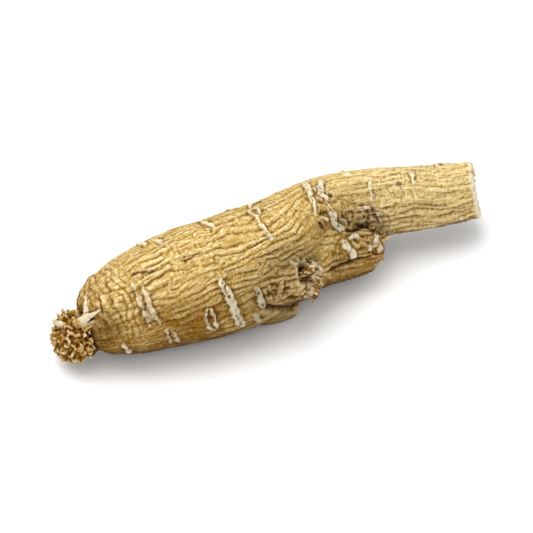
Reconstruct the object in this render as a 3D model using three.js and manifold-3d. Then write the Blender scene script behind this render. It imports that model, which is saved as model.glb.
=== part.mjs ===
// A dried ginseng root lying on its belly. It grew as one piece, so it is one closed solid: the scaly
// crown knob, the ringed shoulder, the wrinkled spindle body, the side roots broken off short and
// the tail cut square. Millimetres, +Z up, +X from the crown to the cut tail. The origin is the
// centre of the underside of the root's box.
import * as THREE from "three";
import { mergeVertices } from "three/addons/utils/BufferGeometryUtils.js";
import Module from "manifold-3d";

const wasm = await Module();
wasm.setup();

const tau = Math.PI * 2;

// Each root is drawn along a spine. A row is one station: where the spine passes (x, y, z), and how
// wide and how tall the root is there, both as half-sizes.
const bodyStations = [
  [2.2, -1.3, 4.5, 2.7, 2.7],
  [3.5, -1.5, 5.2, 4.9, 4.7],
  [6.2, -1.7, 6.2, 6.4, 6.2],
  [11.5, -1.9, 7.1, 7.5, 7.4],
  [17.5, -2.2, 7.7, 8.3, 8.0],
  [24.0, -2.5, 7.8, 8.3, 8.1],
  [30.5, -1.5, 8.1, 7.5, 7.5],
  [36.5, 0.9, 8.4, 6.1, 6.2],
  [42.5, 2.8, 8.3, 5.0, 5.1],
  [49.5, 2.3, 7.8, 4.6, 4.6],
  [56.5, 0.9, 7.1, 4.2, 4.1],
  [62.6, 0.0, 6.6, 3.9, 3.7],
];

// The side roots start inside the body and end where they broke off. Each has a rim, a hollow inside
// it, a rim torn by up to "tear", and a "lean" that carries the top of the rim further than its foot.
const sideRoots = [
  {
    // the stout fork that runs beside the tail and is torn off under it
    stations: [
      [27.0, -3.0, 7.2, 5.0, 4.8],
      [32.0, -2.4, 7.4, 5.8, 5.6],
      [36.5, -2.0, 6.7, 5.5, 5.5],
      [40.5, -2.2, 5.7, 4.7, 4.6],
      [43.6, -2.5, 4.9, 3.9, 3.7],
      [45.8, -2.4, 4.6, 3.3, 3.0],
    ],
    rim: 0.7,
    hollow: 1.3,
    tear: 0.7,
    lean: 1.0,
  },
  {
    // the swollen base of a side root on the front of the body, broken off to a hollow stump that
    // turns outward
    stations: [
      [21.0, -5.4, 7.6, 3.2, 3.4],
      [25.2, -6.6, 8.3, 3.9, 3.8],
      [29.0, -7.2, 8.6, 3.9, 3.7],
      [31.8, -7.8, 8.4, 3.2, 3.3],
      [34.0, -8.5, 8.0, 2.5, 2.7],
    ],
    rim: 0.45,
    hollow: 1.3,
    tear: 0.5,
    lean: -0.2,
  },
  {
    // the low pad under it, which rests on the table
    stations: [
      [24.0, -4.4, 3.0, 2.6, 2.8],
      [27.2, -5.6, 2.5, 2.6, 2.6],
      [30.0, -5.9, 2.4, 2.5, 2.5],
      [32.4, -6.2, 2.2, 1.8, 1.9],
    ],
    rim: 0.3,
    hollow: 0.3,
    tear: 0.2,
    lean: 0,
  },
  {
    // a rootlet stub, low on the back of the body
    stations: [
      [21.6, 2.6, 6.4, 2.1, 2.0],
      [22.2, 5.4, 5.6, 1.8, 1.7],
      [22.9, 7.3, 5.2, 1.6, 1.5],
    ],
    rim: 0.35,
    hollow: 0.5,
    tear: 0.2,
    lean: 0,
  },
];

// The scaly knob at the crown end. A scale's width is an angle at the knob's centre, in radians.
const crown = {
  centre: [-0.2, -1.8, 3.9],
  size: [3.4, 3.8, 3.9],
  scales: 46,
  scaleHeight: 0.65,
  scaleWidth: 0.32,
};
const tailCut = { rim: 0.45, hollow: 0.8, tear: 0.12, lean: 0 };
const hollowFloor = 0.35; // where a hollow's wall meets its floor, from the rim (0) to the middle (1)
const pithHeight = 0.8; // depth of the hollow at its middle, of its depth at the wall

// How finely each form is divided.
const bodyGrid = { around: 68, along: 52 };
const sideGrid = { around: 24, along: 8 };
const crownDetail = 7;

// The relief of the skin. Depths are in millimetres. A wave runs "along" radians over the whole length
// of the root and "around" times round it.
const swellings = {
  depth: 0.34,
  waves: [
    { height: 0.5, along: 5, around: 2 },
    { height: 0.35, along: -8, around: 3 },
    { height: 0.25, along: 14, around: 5 },
  ],
};
const wrinkles = {
  depth: 0.3,
  bodyCount: 13,
  sideCount: 9,
  crest: 0.75, // how high the ridges stand between furrows, of the whole depth
  bends: [
    { height: 0.35, along: 9, around: 2 },
    { height: 0.2, along: 21, around: -3 },
  ],
};
const shoulderRings = {
  depth: 0.12,
  pitch: 1.9,
  fadeFrom: 0.15, // shares of the root's length
  fadeTo: 0.3,
  bends: [
    { height: 1.2, along: 0, around: 2 },
    { height: 0.7, along: 0, around: 5 },
  ],
};
const smoothNeck = 0.1; // share of the length over which the relief grows from nothing
const sideSoftness = 0.5; // the side roots' relief, of the body's
const tornEdge = [
  { height: 0.6, along: 0, around: 3 },
  { height: 0.4, along: 0, around: 7 },
];

const lerp = THREE.MathUtils.lerp;
const smoothstep = THREE.MathUtils.smoothstep;

function waves(list, share, angle, phase) {
  return list.reduce(
    (sum, { height, along, around }) => sum + height * Math.sin(along * share + around * angle + phase),
    0,
  );
}

// Lengthwise wrinkles: rounded ridges between narrow furrows that wander as they run.
function furrows(share, angle, count, phase) {
  const turned = angle + waves(wrinkles.bends, share, angle, phase);
  return Math.sqrt(Math.abs(Math.sin((count / 2) * turned))) - wrinkles.crest;
}

function bodyRelief(share, angle, millimetres) {
  const grown = smoothstep(share, 0, smoothNeck);
  const ringed = 1 - smoothstep(share, shoulderRings.fadeFrom, shoulderRings.fadeTo);
  const turns = (tau * millimetres) / shoulderRings.pitch;
  const ring = Math.cos(turns + waves(shoulderRings.bends, share, angle, 0));
  return (
    grown *
    (swellings.depth * waves(swellings.waves, share, angle, 2) +
      wrinkles.depth * furrows(share, angle, wrinkles.bodyCount, 1) +
      shoulderRings.depth * ringed * ring)
  );
}

function sideRelief(share, angle) {
  return (
    sideSoftness *
    (swellings.depth * waves(swellings.waves, share, angle, 1) +
      wrinkles.depth * furrows(share, angle, wrinkles.sideCount, 2))
  );
}

// A closed skin along a spine. The far end is open like a broken stick: a torn rim round a hollow.
function rootGeometry(stations, { around, along }, relief, { rim, hollow, tear, lean }) {
  const spine = new THREE.CatmullRomCurve3(stations.map(([x, y, z]) => new THREE.Vector3(x, y, z)));
  const girth = new THREE.CatmullRomCurve3(
    stations.map(([, , , wide, tall]) => new THREE.Vector3(wide, tall, 0)),
  );
  const length = spine.getLength();
  const positions = [];
  const up = new THREE.Vector3(0, 0, 1);

  function addRing(share, inset, shift) {
    const centre = spine.getPoint(share);
    const tangent = spine.getTangent(share);
    const across = new THREE.Vector3().crossVectors(up, tangent).normalize();
    const over = new THREE.Vector3().crossVectors(tangent, across);
    const { x: wide, y: tall } = girth.getPoint(share);
    for (let i = 0; i < around; i++) {
      const angle = (tau * i) / around;
      const raised = relief(share, angle, share * length) - inset;
      const torn = tear * waves(tornEdge, share, angle, 1);
      const point = centre
        .clone()
        .addScaledVector(across, Math.cos(angle) * (wide + raised))
        .addScaledVector(over, Math.sin(angle) * (tall + raised))
        .addScaledVector(tangent, shift + (share === 1 ? torn + lean * Math.sin(angle) : 0));
      positions.push(...point);
    }
  }

  for (let j = 0; j <= along; j++) addRing(j / along, 0, 0);
  const endRadius = Math.min(girth.getPoint(1).x, girth.getPoint(1).y);
  addRing(1, rim, 0);
  addRing(1, lerp(rim, endRadius, hollowFloor), -hollow);
  const rings = along + 3;

  const startCentre = positions.length / 3;
  positions.push(...spine.getPoint(0));
  positions.push(...spine.getPoint(1).addScaledVector(spine.getTangent(1), -pithHeight * hollow));

  const index = [];
  for (let j = 0; j < rings - 1; j++) {
    for (let i = 0; i < around; i++) {
      const a = j * around + i;
      const b = j * around + ((i + 1) % around);
      index.push(a, b, a + around, b, b + around, a + around);
    }
  }
  const last = (rings - 1) * around;
  for (let i = 0; i < around; i++) {
    const next = (i + 1) % around;
    index.push(startCentre, next, i);
    index.push(startCentre + 1, last + i, last + next);
  }
  const geometry = new THREE.BufferGeometry();
  geometry.setAttribute("position", new THREE.Float32BufferAttribute(positions, 3));
  geometry.setIndex(index);
  return geometry;
}

// The crown knob: a ball crowded with blunt scales, set out on a spiral round the root's axis.
function crownGeometry({ centre, size, scales, scaleHeight, scaleWidth }) {
  const ball = new THREE.IcosahedronGeometry(1, crownDetail);
  ball.deleteAttribute("normal");
  ball.deleteAttribute("uv");
  const geometry = mergeVertices(ball, 1e-4);
  const goldenAngle = Math.PI * (3 - Math.sqrt(5));
  const tips = Array.from({ length: scales }, (_, k) => {
    const x = 1 - (2 * (k + 0.5)) / scales;
    const ring = Math.sqrt(1 - x * x);
    return new THREE.Vector3(x, ring * Math.cos(k * goldenAngle), ring * Math.sin(k * goldenAngle));
  });
  const position = geometry.getAttribute("position");
  const direction = new THREE.Vector3();
  for (let i = 0; i < position.count; i++) {
    direction.fromBufferAttribute(position, i).normalize();
    const nearest = Math.min(...tips.map((tip) => tip.distanceTo(direction)));
    const raised = scaleHeight * (1 - Math.min(1, nearest / scaleWidth) ** 2) - scaleHeight / 2;
    const [wide, deep, tall] = size.map((half) => half + raised);
    position.setXYZ(
      i,
      centre[0] + direction.x * wide,
      centre[1] + direction.y * deep,
      centre[2] + direction.z * tall,
    );
  }
  return geometry;
}

function solidOf(geometry) {
  return new wasm.Manifold(
    new wasm.Mesh({
      numProp: 3,
      vertProperties: geometry.getAttribute("position").array,
      triVerts: new Uint32Array(geometry.getIndex().array),
    }),
  );
}

// Everything above the table: the forms are let into it by a fraction of a millimetre, and cut flat.
function aboveTable() {
  const side = 200;
  const box = new THREE.BoxGeometry(side, side, side).translate(0, 0, side / 2);
  box.deleteAttribute("normal");
  box.deleteAttribute("uv");
  return solidOf(mergeVertices(box));
}

function geometryOf(solid) {
  const mesh = solid.getMesh();
  const geometry = new THREE.BufferGeometry();
  geometry.setAttribute("position", new THREE.BufferAttribute(mesh.vertProperties, 3));
  geometry.setIndex(new THREE.BufferAttribute(mesh.triVerts, 1));
  return geometry;
}

const body = solidOf(rootGeometry(bodyStations, bodyGrid, bodyRelief, tailCut));
const knob = solidOf(crownGeometry(crown));
const whole = sideRoots
  .map((side) => solidOf(rootGeometry(side.stations, sideGrid, sideRelief, side)))
  .reduce((sum, side) => sum.add(side), body.add(knob))
  .intersect(aboveTable());

const rootForm = geometryOf(whole);
rootForm.computeBoundingBox();
const { min, max } = rootForm.boundingBox;
rootForm.translate(-(min.x + max.x) / 2, -(min.y + max.y) / 2, -min.z);
rootForm.computeVertexNormals();

const driedSkin = new THREE.MeshStandardMaterial({ color: 0xc9a768, roughness: 0.85, metalness: 0 });
const root = new THREE.Mesh(rootForm, driedSkin);
root.name = "ginseng_root";

const group = new THREE.Group();
group.add(root);

export default group;
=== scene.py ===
import math
import bpy
import numpy as np
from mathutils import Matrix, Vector


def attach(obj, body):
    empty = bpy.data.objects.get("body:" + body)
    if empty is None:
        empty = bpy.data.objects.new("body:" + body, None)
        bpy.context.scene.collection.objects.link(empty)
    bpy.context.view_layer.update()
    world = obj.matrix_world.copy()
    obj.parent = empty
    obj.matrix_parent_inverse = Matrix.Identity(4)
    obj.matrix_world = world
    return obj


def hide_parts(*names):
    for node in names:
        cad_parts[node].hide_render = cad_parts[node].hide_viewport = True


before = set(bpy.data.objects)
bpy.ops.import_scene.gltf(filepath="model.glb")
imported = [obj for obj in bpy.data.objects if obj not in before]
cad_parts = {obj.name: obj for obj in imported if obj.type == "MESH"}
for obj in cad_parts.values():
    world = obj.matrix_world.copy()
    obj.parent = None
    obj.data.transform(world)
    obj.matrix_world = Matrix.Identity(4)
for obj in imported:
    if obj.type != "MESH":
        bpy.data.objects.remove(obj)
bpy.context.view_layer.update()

# A dried ginseng root on a white table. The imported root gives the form, and this script gives it its
# skin, its scars, the scaly crown and the torn ends. Lengths are in millimetres, and mm makes metres.
mm = 0.001
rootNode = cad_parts["ginseng_root"]
print("frame loaded")

# Where each part of the root runs: x, y, z, half width and half height at each station, measured from
# the foot of the crown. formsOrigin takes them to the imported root's own origin.
formsOrigin = (29.753, -1.488, 0.0, 0.0, 0.0)
rootForms = {
    "body": [
        (2.2, -1.3, 4.5, 2.7, 2.7), (3.5, -1.5, 5.2, 4.9, 4.7), (6.2, -1.7, 6.2, 6.4, 6.2),
        (11.5, -1.9, 7.1, 7.5, 7.4), (17.5, -2.2, 7.7, 8.3, 8.0), (24.0, -2.5, 7.8, 8.3, 8.1),
        (30.5, -1.5, 8.1, 7.5, 7.5), (36.5, 0.9, 8.4, 6.1, 6.2), (42.5, 2.8, 8.3, 5.0, 5.1),
        (49.5, 2.3, 7.8, 4.6, 4.6), (56.5, 0.9, 7.1, 4.2, 4.1), (62.6, 0.0, 6.6, 3.9, 3.7),
    ],
    "fork": [
        (27.0, -3.0, 7.2, 5.0, 4.8), (32.0, -2.4, 7.4, 5.8, 5.6), (36.5, -2.0, 6.7, 5.5, 5.5),
        (40.5, -2.2, 5.7, 4.7, 4.6), (43.6, -2.5, 4.9, 3.9, 3.7), (45.8, -2.4, 4.6, 3.3, 3.0),
    ],
    "bulge": [
        (21.0, -5.4, 7.6, 3.2, 3.4), (25.2, -6.6, 8.3, 3.9, 3.8), (29.0, -7.2, 8.6, 3.9, 3.7),
        (31.8, -7.8, 8.4, 3.2, 3.3), (34.0, -8.5, 8.0, 2.5, 2.7),
    ],
    "pad": [
        (24.0, -4.4, 3.0, 2.6, 2.8), (27.2, -5.6, 2.5, 2.6, 2.6), (30.0, -5.9, 2.4, 2.5, 2.5),
        (32.4, -6.2, 2.2, 1.8, 1.9),
    ],
    "stub": [(21.6, 2.6, 6.4, 2.1, 2.0), (22.2, 5.4, 5.6, 1.8, 1.7), (22.9, 7.3, 5.2, 1.6, 1.5)],
}
formNames = list(rootForms)
# Pairs parted by a dark cleft: the share of the second one's run where it opens, the height where it
# ends, and how far its shade spreads
clefts = [("body", "fork", 0.74, 20.0, 0.55), ("bulge", "pad", -0.5, 20.0, 0.5),
          ("body", "pad", 0.85, 20.0, 0.55), ("bulge", "fork", 0.7, 7.0, 0.55)]


def smooth(x, low, high):  # 0 below low, 1 above high, eased between
    t = np.clip((x - low) / (high - low), 0, 1)
    return t * t * (3 - 2 * t)


# Seeded gradient noise, about -1 to 1, for shaping the skin
shuffle = np.random.default_rng(11).permutation(256)
slopes = np.random.default_rng(12).normal(size=(256, 3))
slopes /= np.linalg.norm(slopes, axis=1)[:, None]


def noise(points, seed):
    cell = np.floor(points).astype(int)
    part = points - cell
    ease = part ** 3 * (part * (part * 6 - 15) + 10)
    total = np.zeros(len(points))
    for corner in np.ndindex(2, 2, 2):
        at = cell + corner
        pick = shuffle[(at[:, 0] + seed * 37) & 255]
        pick = shuffle[(pick + at[:, 1]) & 255]
        pick = shuffle[(pick + at[:, 2]) & 255]
        weight = np.prod(np.where(corner, ease, 1 - ease), axis=1)
        total += weight * np.sum(slopes[pick] * (part - corner), axis=1)
    return total * 1.6


def spineRun(name, steps=10):  # a smooth line through a form's stations, by Catmull-Rom
    rows = np.array(rootForms[name]) - formsOrigin
    ends = np.vstack([2 * rows[0] - rows[1], rows, 2 * rows[-1] - rows[-2]])
    line = []
    for i in range(len(rows) - 1):
        a, b, c, d = ends[i:i + 4]
        for s in np.arange(steps) / steps:
            line.append(b + 0.5 * s * (c - a + s * (2 * a - 5 * b + 4 * c - d + s * (3 * (b - c) + d - a))))
    return np.array(line + [rows[-1]])


def spineFrame(line):  # unit vectors along the line, across it and over it
    ahead = np.gradient(line[:, :3], axis=0)
    ahead /= np.linalg.norm(ahead, axis=1)[:, None]
    across = np.cross((0, 0, 1), ahead)
    across /= np.linalg.norm(across, axis=1)[:, None]
    return ahead, across, np.cross(ahead, across)


def alongForm(points, name):
    # Where each point lies on a form: how far along, its angle round, its height over the form's own
    # surface, and the form's radius there
    line = spineRun(name)
    spine = line[:, :3]
    ahead, across, over = spineFrame(line)
    run = np.concatenate([[0], np.cumsum(np.linalg.norm(np.diff(spine, axis=0), axis=1))])
    nearest = np.empty(len(points), int)
    for k in range(0, len(points), 8000):
        gap = points[k:k + 8000, None] - spine[None]
        nearest[k:k + 8000] = np.argmin(np.einsum("ijk,ijk->ij", gap, gap), axis=1)
    off = points - spine[nearest]
    along = run[nearest] + np.einsum("ij,ij->i", off, ahead[nearest])
    side = np.einsum("ij,ij->i", off, across[nearest])
    rise = np.einsum("ij,ij->i", off, over[nearest])
    wide = np.interp(along, run, line[:, 3])
    tall = np.interp(along, run, line[:, 4])
    radius = 0.5 * (wide + tall)
    inside = np.hypot(side / wide, rise / tall)
    height = (inside - 1) * radius
    beyond = np.maximum(along - run[-1], 0) + np.maximum(-along, 0)
    return {
        "along": along,
        "share": along / run[-1],
        "angle": np.arctan2(rise / tall, side / wide),
        "height": np.where(beyond > 0, np.hypot(np.maximum(height, 0), beyond), height),
        "radius": radius,
        "inside": inside,
        "ahead": ahead[nearest],
    }


def meshPoints(mesh):
    flat = np.empty(len(mesh.vertices) * 3)
    mesh.vertices.foreach_get("co", flat)
    return flat.reshape(-1, 3)


def meshNormals(mesh):
    flat = np.empty(len(mesh.vertices) * 3)
    mesh.vertex_normals.foreach_get("vector", flat)
    return flat.reshape(-1, 3)


def movePoints(mesh, points):
    mesh.vertices.foreach_set("co", points.astype(np.float32).ravel())
    mesh.update()


def easedPoints(mesh, rounds):  # where each point would lie on a smoothed copy of the surface, in mm
    points = meshPoints(mesh) / mm
    edges = np.empty(len(mesh.edges) * 2, int)
    mesh.edges.foreach_get("vertices", edges)
    one, two = edges.reshape(-1, 2).T
    count = np.bincount(edges, minlength=len(points))[:, None]
    soft = points
    for _ in range(rounds):
        total = np.zeros_like(points)
        for axis in range(3):
            total[:, axis] = np.bincount(one, soft[two, axis], len(points))
            total[:, axis] += np.bincount(two, soft[one, axis], len(points))
        soft = 0.5 * soft + 0.5 * total / count
    return soft


def hollowness(mesh, rounds):  # how deep each point lies under the smoothed copy, in mm
    return np.einsum("ij,ij->i", easedPoints(mesh, rounds) - meshPoints(mesh) / mm, meshNormals(mesh))


# What the skin's finish reads from each point, from 0 to 1
maskNames = ["furrow", "depth", "crestPaleAndHighlight", "cream", "paintedShade", "brownAndLowSideShade", "pale", "bark", "cut"]


def addMasks(mesh, grain, masks):
    vectors = mesh.attributes.new("grain", "FLOAT_VECTOR", "POINT")
    vectors.data.foreach_set("vector", grain.astype(np.float32).ravel())
    for name in maskNames:
        values = np.clip(masks.get(name, np.zeros(len(grain))), 0, 1)
        attribute = mesh.attributes.new(name, "FLOAT", "POINT")
        attribute.data.foreach_set("value", values.astype(np.float32))


def newPiece(name, points, faces):
    mesh = bpy.data.meshes.new(name)
    mesh.from_pydata([tuple(p) for p in points], [], faces)
    mesh.update()
    piece = bpy.data.objects.new(name, mesh)
    bpy.context.scene.collection.objects.link(piece)
    return piece


def fuse(piece, voxel, rounds):  # one even skin over everything in the piece
    remesh = piece.modifiers.new("evenSkin", "REMESH")
    remesh.mode = "VOXEL"
    remesh.voxel_size = voxel * mm
    ease = piece.modifiers.new("ease", "SMOOTH")
    ease.factor = 0.5
    ease.iterations = rounds
    bpy.context.view_layer.update()
    seen = piece.evaluated_get(bpy.context.evaluated_depsgraph_get())
    done = bpy.data.meshes.new_from_object(seen)
    piece.modifiers.clear()
    old = piece.data
    piece.data = done
    bpy.data.meshes.remove(old)
    done.shade_smooth()


def dressPiece(piece, material):
    piece.data.materials.clear()
    piece.data.materials.append(material)
    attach(piece, "root")
    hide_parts("ginseng_root")


skin = {
    "voxel": 0.197,
    "easing": 6,
    "neck": -28.1,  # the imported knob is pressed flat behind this, because the crown is its own piece
    "neckRadius": 2.4,
    "girthRadius": 5.6,  # the pattern keeps its scale at this radius
    "ridgeRadii": (8.0, 4.6),  # ridges are counted for the body's thick part and its narrow one
    "ridgeGap": 1.15,
    "furrowDepth": 0.36,
    "fineGap": 0.55,  # finer ridges on the backs of the main ones
    "fineDepth": 0.17,
    "wrinkleSize": (2.4, 0.4),
    "wrinkleDepth": 0.1,
    "crossSize": (0.45, 1.6),  # short wrinkles that run round the root
    "crossDepth": 0.09,
    "ringGap": 0.86,  # rings of small knobs round the shoulder
    "ringDepth": 0.17,
    "ringEnd": 9.5,
    "knobsRound": 40,
    "creaseDepth": 0.4,
    "blend": 0.9,  # how far the wrinkles of one form run over into the next
    "bluntRounds": 24,
    "hollowRounds": 14,
    "fineRounds": 3,
    "cutReach": 0.87,  # the tail runs on this far, and its cut slants back on one side
    "cutSlant": 0.33,
    "cutSide": (0.0, -0.7, 0.7),
    "lump": 0.11,
    "grit": 0.05,
    "shoulderPale": (-22, -13),  # the skin is paler on the crown's side of this stretch
    "bractShadowPlace": (-27.2, -4.6, 8.2),  # painted shadow of the bracts: the skin is darker round here
    "bractShadowReach": (1.2, 4.0),
    "flankPlace": -22.5,  # the painted shade on the lower side is lighter near here
    "flankReach": 4,
}

# Scars of fallen rootlets, along paths over the skin. Width is the lip's half width. A gap leaves a
# hollow between two lips, and in a lens they meet at both ends.
scars = [
    {"path": [(-21.8, -3.0, 13.2), (-21.7, -4.7, 12.2), (-21.5, -6.4, 10.5), (-21.1, -7.1, 9.0)],
     "width": 0.34, "height": 0.2, "pale": 0.5},
    {"path": [(-20.7, -3.7, 13.2), (-20.6, -5.8, 11.9), (-20.3, -6.9, 10.5), (-19.7, -7.6, 9.0)],
     "width": 0.42, "height": 0.22, "pale": 0.55},
    {"path": [(-21.0, -6.0, 11.3), (-20.6, -7.1, 9.9)], "width": 0.75, "height": 0.12, "pale": 0.5},
    {"path": [(-13.1, -8.8, 10.2), (-12.8, -9.0, 8.6), (-12.0, -8.5, 6.0)],
     "gap": 0.62, "lens": True, "width": 0.3, "height": 0.34, "pale": 0.8},
    {"path": [(-10.4, -7.4, 13.0), (-9.7, -8.6, 11.2), (-9.2, -9.2, 8.8), (-8.0, -9.0, 5.7)],
     "gap": 0.3, "width": 0.38, "height": 0.45, "pale": 0.9},
    {"path": [(-5.6, -8.6, 11.0), (-5.2, -9.0, 9.3), (-4.7, -9.2, 7.8)],
     "gap": 0.2, "width": 0.32, "height": 0.4, "pale": 0.85},
    {"path": [(-6.2, -9.2, 6.9), (-4.9, -8.4, 4.5)], "width": 0.45, "height": 0.2, "pale": 0.7},
    {"path": [(-19.0, -7.8, 8.2), (-18.0, -7.1, 4.6)], "width": 0.28, "height": 0.2, "pale": 0.5},
    {"path": [(-18.2, -8.0, 7.8), (-16.8, -7.2, 4.3)], "width": 0.36, "height": 0.22, "pale": 0.6},
    {"path": [(-24.9, -6.3, 6.4), (-23.6, -5.6, 3.7)], "width": 0.45, "height": 0.22, "pale": 0.7},
    {"path": [(-0.6, 3.6, 15.1), (0.4, 4.1, 14.7), (1.3, 4.3, 14.6)], "width": 0.3, "height": 0.35},
    {"path": [(-0.7, 3.4, 15.2), (-1.5, 1.9, 15.6)], "width": 0.3, "height": 0.35},
    {"path": [(-1.1, 1.4, 16.0), (-1.2, 0.6, 15.9)], "gap": 0.64, "width": 0.26, "height": 0.42},
    {"path": [(-1.4, 0.0, 15.9), (-1.5, -1.5, 16.1), (-1.3, -2.9, 15.7)], "width": 0.42, "height": 0.45},
    {"path": [(-1.3, -3.2, 15.3), (-1.1, -4.2, 14.8)], "width": 0.32, "height": 0.2},
    {"path": [(-15.7, 3.0, 14.4), (-15.2, 1.2, 15.0)], "width": 0.55, "height": 0.24},
    {"path": [(-8.5, 3.3, 14.8), (-7.9, 0.2, 16.0)], "width": 0.5, "height": 0.32},
    {"path": [(8.8, 5.4, 13.9), (8.1, 3.6, 14.5), (7.7, 1.6, 14.9), (7.7, 0.4, 14.8)],
     "gap": 0.2, "width": 0.3, "height": 0.4},
    {"path": [(7.7, 0.3, 14.7), (7.6, -0.4, 14.4), (7.4, -1.2, 13.9)], "width": 0.34, "height": 0.32},
    {"path": [(11.2, 5.0, 14.1), (10.0, 3.4, 14.2), (9.6, 2.1, 14.3), (10.2, 0.6, 13.6)],
     "gap": 0.2, "width": 0.3, "height": 0.4},
    {"path": [(14.8, 5.0, 13.4), (15.4, 5.0, 13.3), (15.9, 4.9, 13.3)], "width": 0.45, "height": 0.28},
    {"path": [(8.5, -0.6, 13.2), (8.9, -2.4, 12.2)], "width": 0.34, "height": 0.25},
    {"path": [(9.9, -0.1, 13.1), (10.2, -1.1, 12.2), (10.4, -1.9, 11.4), (11.0, -2.3, 10.7)],
     "gap": 0.24, "width": 0.36, "height": 0.38},
    {"path": [(10.0, -3.9, 9.9), (10.5, -4.4, 9.0), (11.5, -4.8, 7.2)], "width": 0.6, "height": 0.45},
    {"path": [(11.1, -3.6, 9.5), (12.2, -2.9, 9.5), (12.7, -2.7, 9.3)], "width": 0.34, "height": 0.3},
    {"path": [(17.7, 3.4, 12.9), (17.3, 1.6, 12.3), (17.0, 0.7, 11.3)],
     "width": 0.2, "height": 0.18, "pale": 0.8},
    {"path": [(24.4, 3.6, 11.7), (23.8, 1.4, 11.3)], "width": 0.42, "height": 0.3},
    {"path": [(14.8, 0.5, 10.9), (16.0, 0.4, 10.7), (17.0, -0.1, 9.8), (17.8, -0.5, 7.8)],
     "width": 0.17, "height": 0.18, "pale": 0.5},
    {"path": [(3.8, -6.7, 11.2), (3.8, -7.7, 10.8), (4.4, -8.2, 9.8), (3.4, -9.2, 9.2)],
     "width": 0.3, "height": 0.4, "pale": 0.7},
    {"path": [(0.6, -6.4, 12.3), (1.1, -7.6, 11.7), (0.7, -8.6, 10.9)],
     "width": 0.28, "height": 0.22, "pale": 0.6},
    {"path": [(15.9, -1.9, 7.8), (16.1, -2.7, 7.3), (15.8, -3.6, 6.7)], "width": 0.42, "height": 0.35},
]
# Round scars lie across the body: the share of its length, two angles, width, height and gap
roundScars = [
    (0.16, 20, 44, 0.4, 0.3, 0), (0.25, -34, -8, 0.34, 0.26, 0), (0.30, 22, 62, 0.5, 0.36, 0),
    (0.36, 8, 34, 0.36, 0.4, 0.6), (0.44, -38, -12, 0.42, 0.3, 0), (0.50, 14, 56, 0.55, 0.42, 0),
    (0.60, -26, 16, 0.5, 0.4, 0), (0.625, 24, 58, 0.4, 0.36, 0), (0.76, -10, 38, 0.34, 0.3, 0),
    (0.88, -60, -18, 0.38, 0.26, 0), (0.93, 20, 58, 0.3, 0.24, 0), (0.40, 222, 248, 0.4, 0.26, 0),
    (0.72, 190, 236, 0.36, 0.26, 0),
]

# Cracks and creases in the skin: the path, width and depth, and whether it comes and goes
cracks = [
    ([(11.2, -2.8, 10.3), (12.0, -1.9, 9.8), (12.7, -1.8, 9.4), (13.5, -1.4, 8.9), (14.7, -0.4, 8.1),
      (15.5, -1.3, 8.3), (16.0, -1.8, 8.0), (16.8, -2.5, 7.4)], 0.4, 0.55, False),
    ([(7.8, -0.8, 13.6), (8.6, -0.8, 13.4), (9.7, -0.4, 13.0)], 0.26, 0.24, False),
    ([(7.2, -1.9, 13.2), (7.7, -2.2, 12.5), (8.1, -2.6, 11.7)], 0.26, 0.2, False),
    ([(8.7, 2.6, 14.9), (8.7, 1.2, 14.5), (9.2, 0.3, 13.7)], 0.4, 0.24, True),
    ([(-4.4, -9.3, 8.3), (-3.8, -8.7, 7.4), (-3.1, -8.5, 6.7), (-2.4, -8.3, 6.1), (-1.7, -8.1, 5.7),
      (-1.0, -7.9, 5.1), (0.1, -6.8, 3.8), (1.0, -6.2, 3.2), (2.8, -6.0, 3.0)], 0.6, 0.65, False),
    ([(-4.0, -9.3, 9.3), (-3.0, -9.5, 8.9), (-1.8, -9.5, 8.5), (-0.5, -9.5, 8.0), (1.0, -9.3, 7.4)],
     0.34, 0.3, True),
    ([(-4.2, -8.7, 10.4), (-3.6, -9.0, 9.7), (-3.4, -9.2, 8.6)], 0.34, 0.2, True),
    ([(6.7, -6.1, 7.2), (7.9, -5.8, 7.2), (9.6, -5.4, 7.1), (11.6, -4.9, 6.8), (14.1, -4.6, 6.1)],
     0.3, 0.5, False),
    ([(-25.9, -0.2, 11.6), (-26.7, -3.7, 10.3), (-26.2, -5.3, 7.8), (-25.2, -5.2, 4.0)], 0.2, 0.16, True),
    ([(-24.4, 0.5, 12.6), (-24.9, -3.4, 11.9), (-24.6, -5.4, 9.8)], 0.18, 0.12, True),
    ([(-21.9, -1.4, 13.6), (-20.8, -1.6, 13.9), (-18.3, -2.7, 14.4), (-14.9, -3.2, 15.0),
      (-11.3, -3.2, 15.4)], 0.2, 0.2, True),
]

# Broken places: where, the half sizes in x, y and z, and how deep, rough and pale the break is
breaks = [
    ((2.2, -8.6, 10.6), (1.35, 2.0, 1.9), 1.0, 0.75, 0.1),
    ((2.9, -6.9, 11.6), (1.5, 1.0, 0.9), 0.1, 0.4, 0.2),
    ((13.6, -3.5, 8.7), (2.0, 1.4, 1.4), 0.0, 0.24, 0.3),
    ((3.0, -9.0, 8.0), (2.2, 1.6, 1.8), 0.1, 0.6, 0.85),
    ((-2.2, -9.2, 10.1), (2.4, 1.4, 1.5), 0.0, 0.27, 0.25),
    ((16.2, -0.2, 9.2), (1.8, 1.4, 1.6), 0.05, 0.34, 0.85),
    ((12.6, -0.4, 11.0), (1.9, 1.3, 1.4), 0.05, 0.27, 0.85),
    ((9.6, 3.4, 14.0), (0.8, 2.2, 1.0), 0.05, 0.25, 0.85),
    ((21.8, 1.8, 11.6), (0.65, 0.6, 0.6), 0.22, 0.16, 0.85),
    ((11.1, 1.8, 13.8), (0.5, 0.5, 0.5), 0.4, 0.3, 0.85),
    ((10.8, -4.6, 8.4), (0.32, 0.4, 0.45), 0.6, 0.1, 0.85),
    ((15.4, -3.6, 6.6), (2.0, 1.6, 1.4), 0.1, 0.35, 0.85),
]


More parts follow.
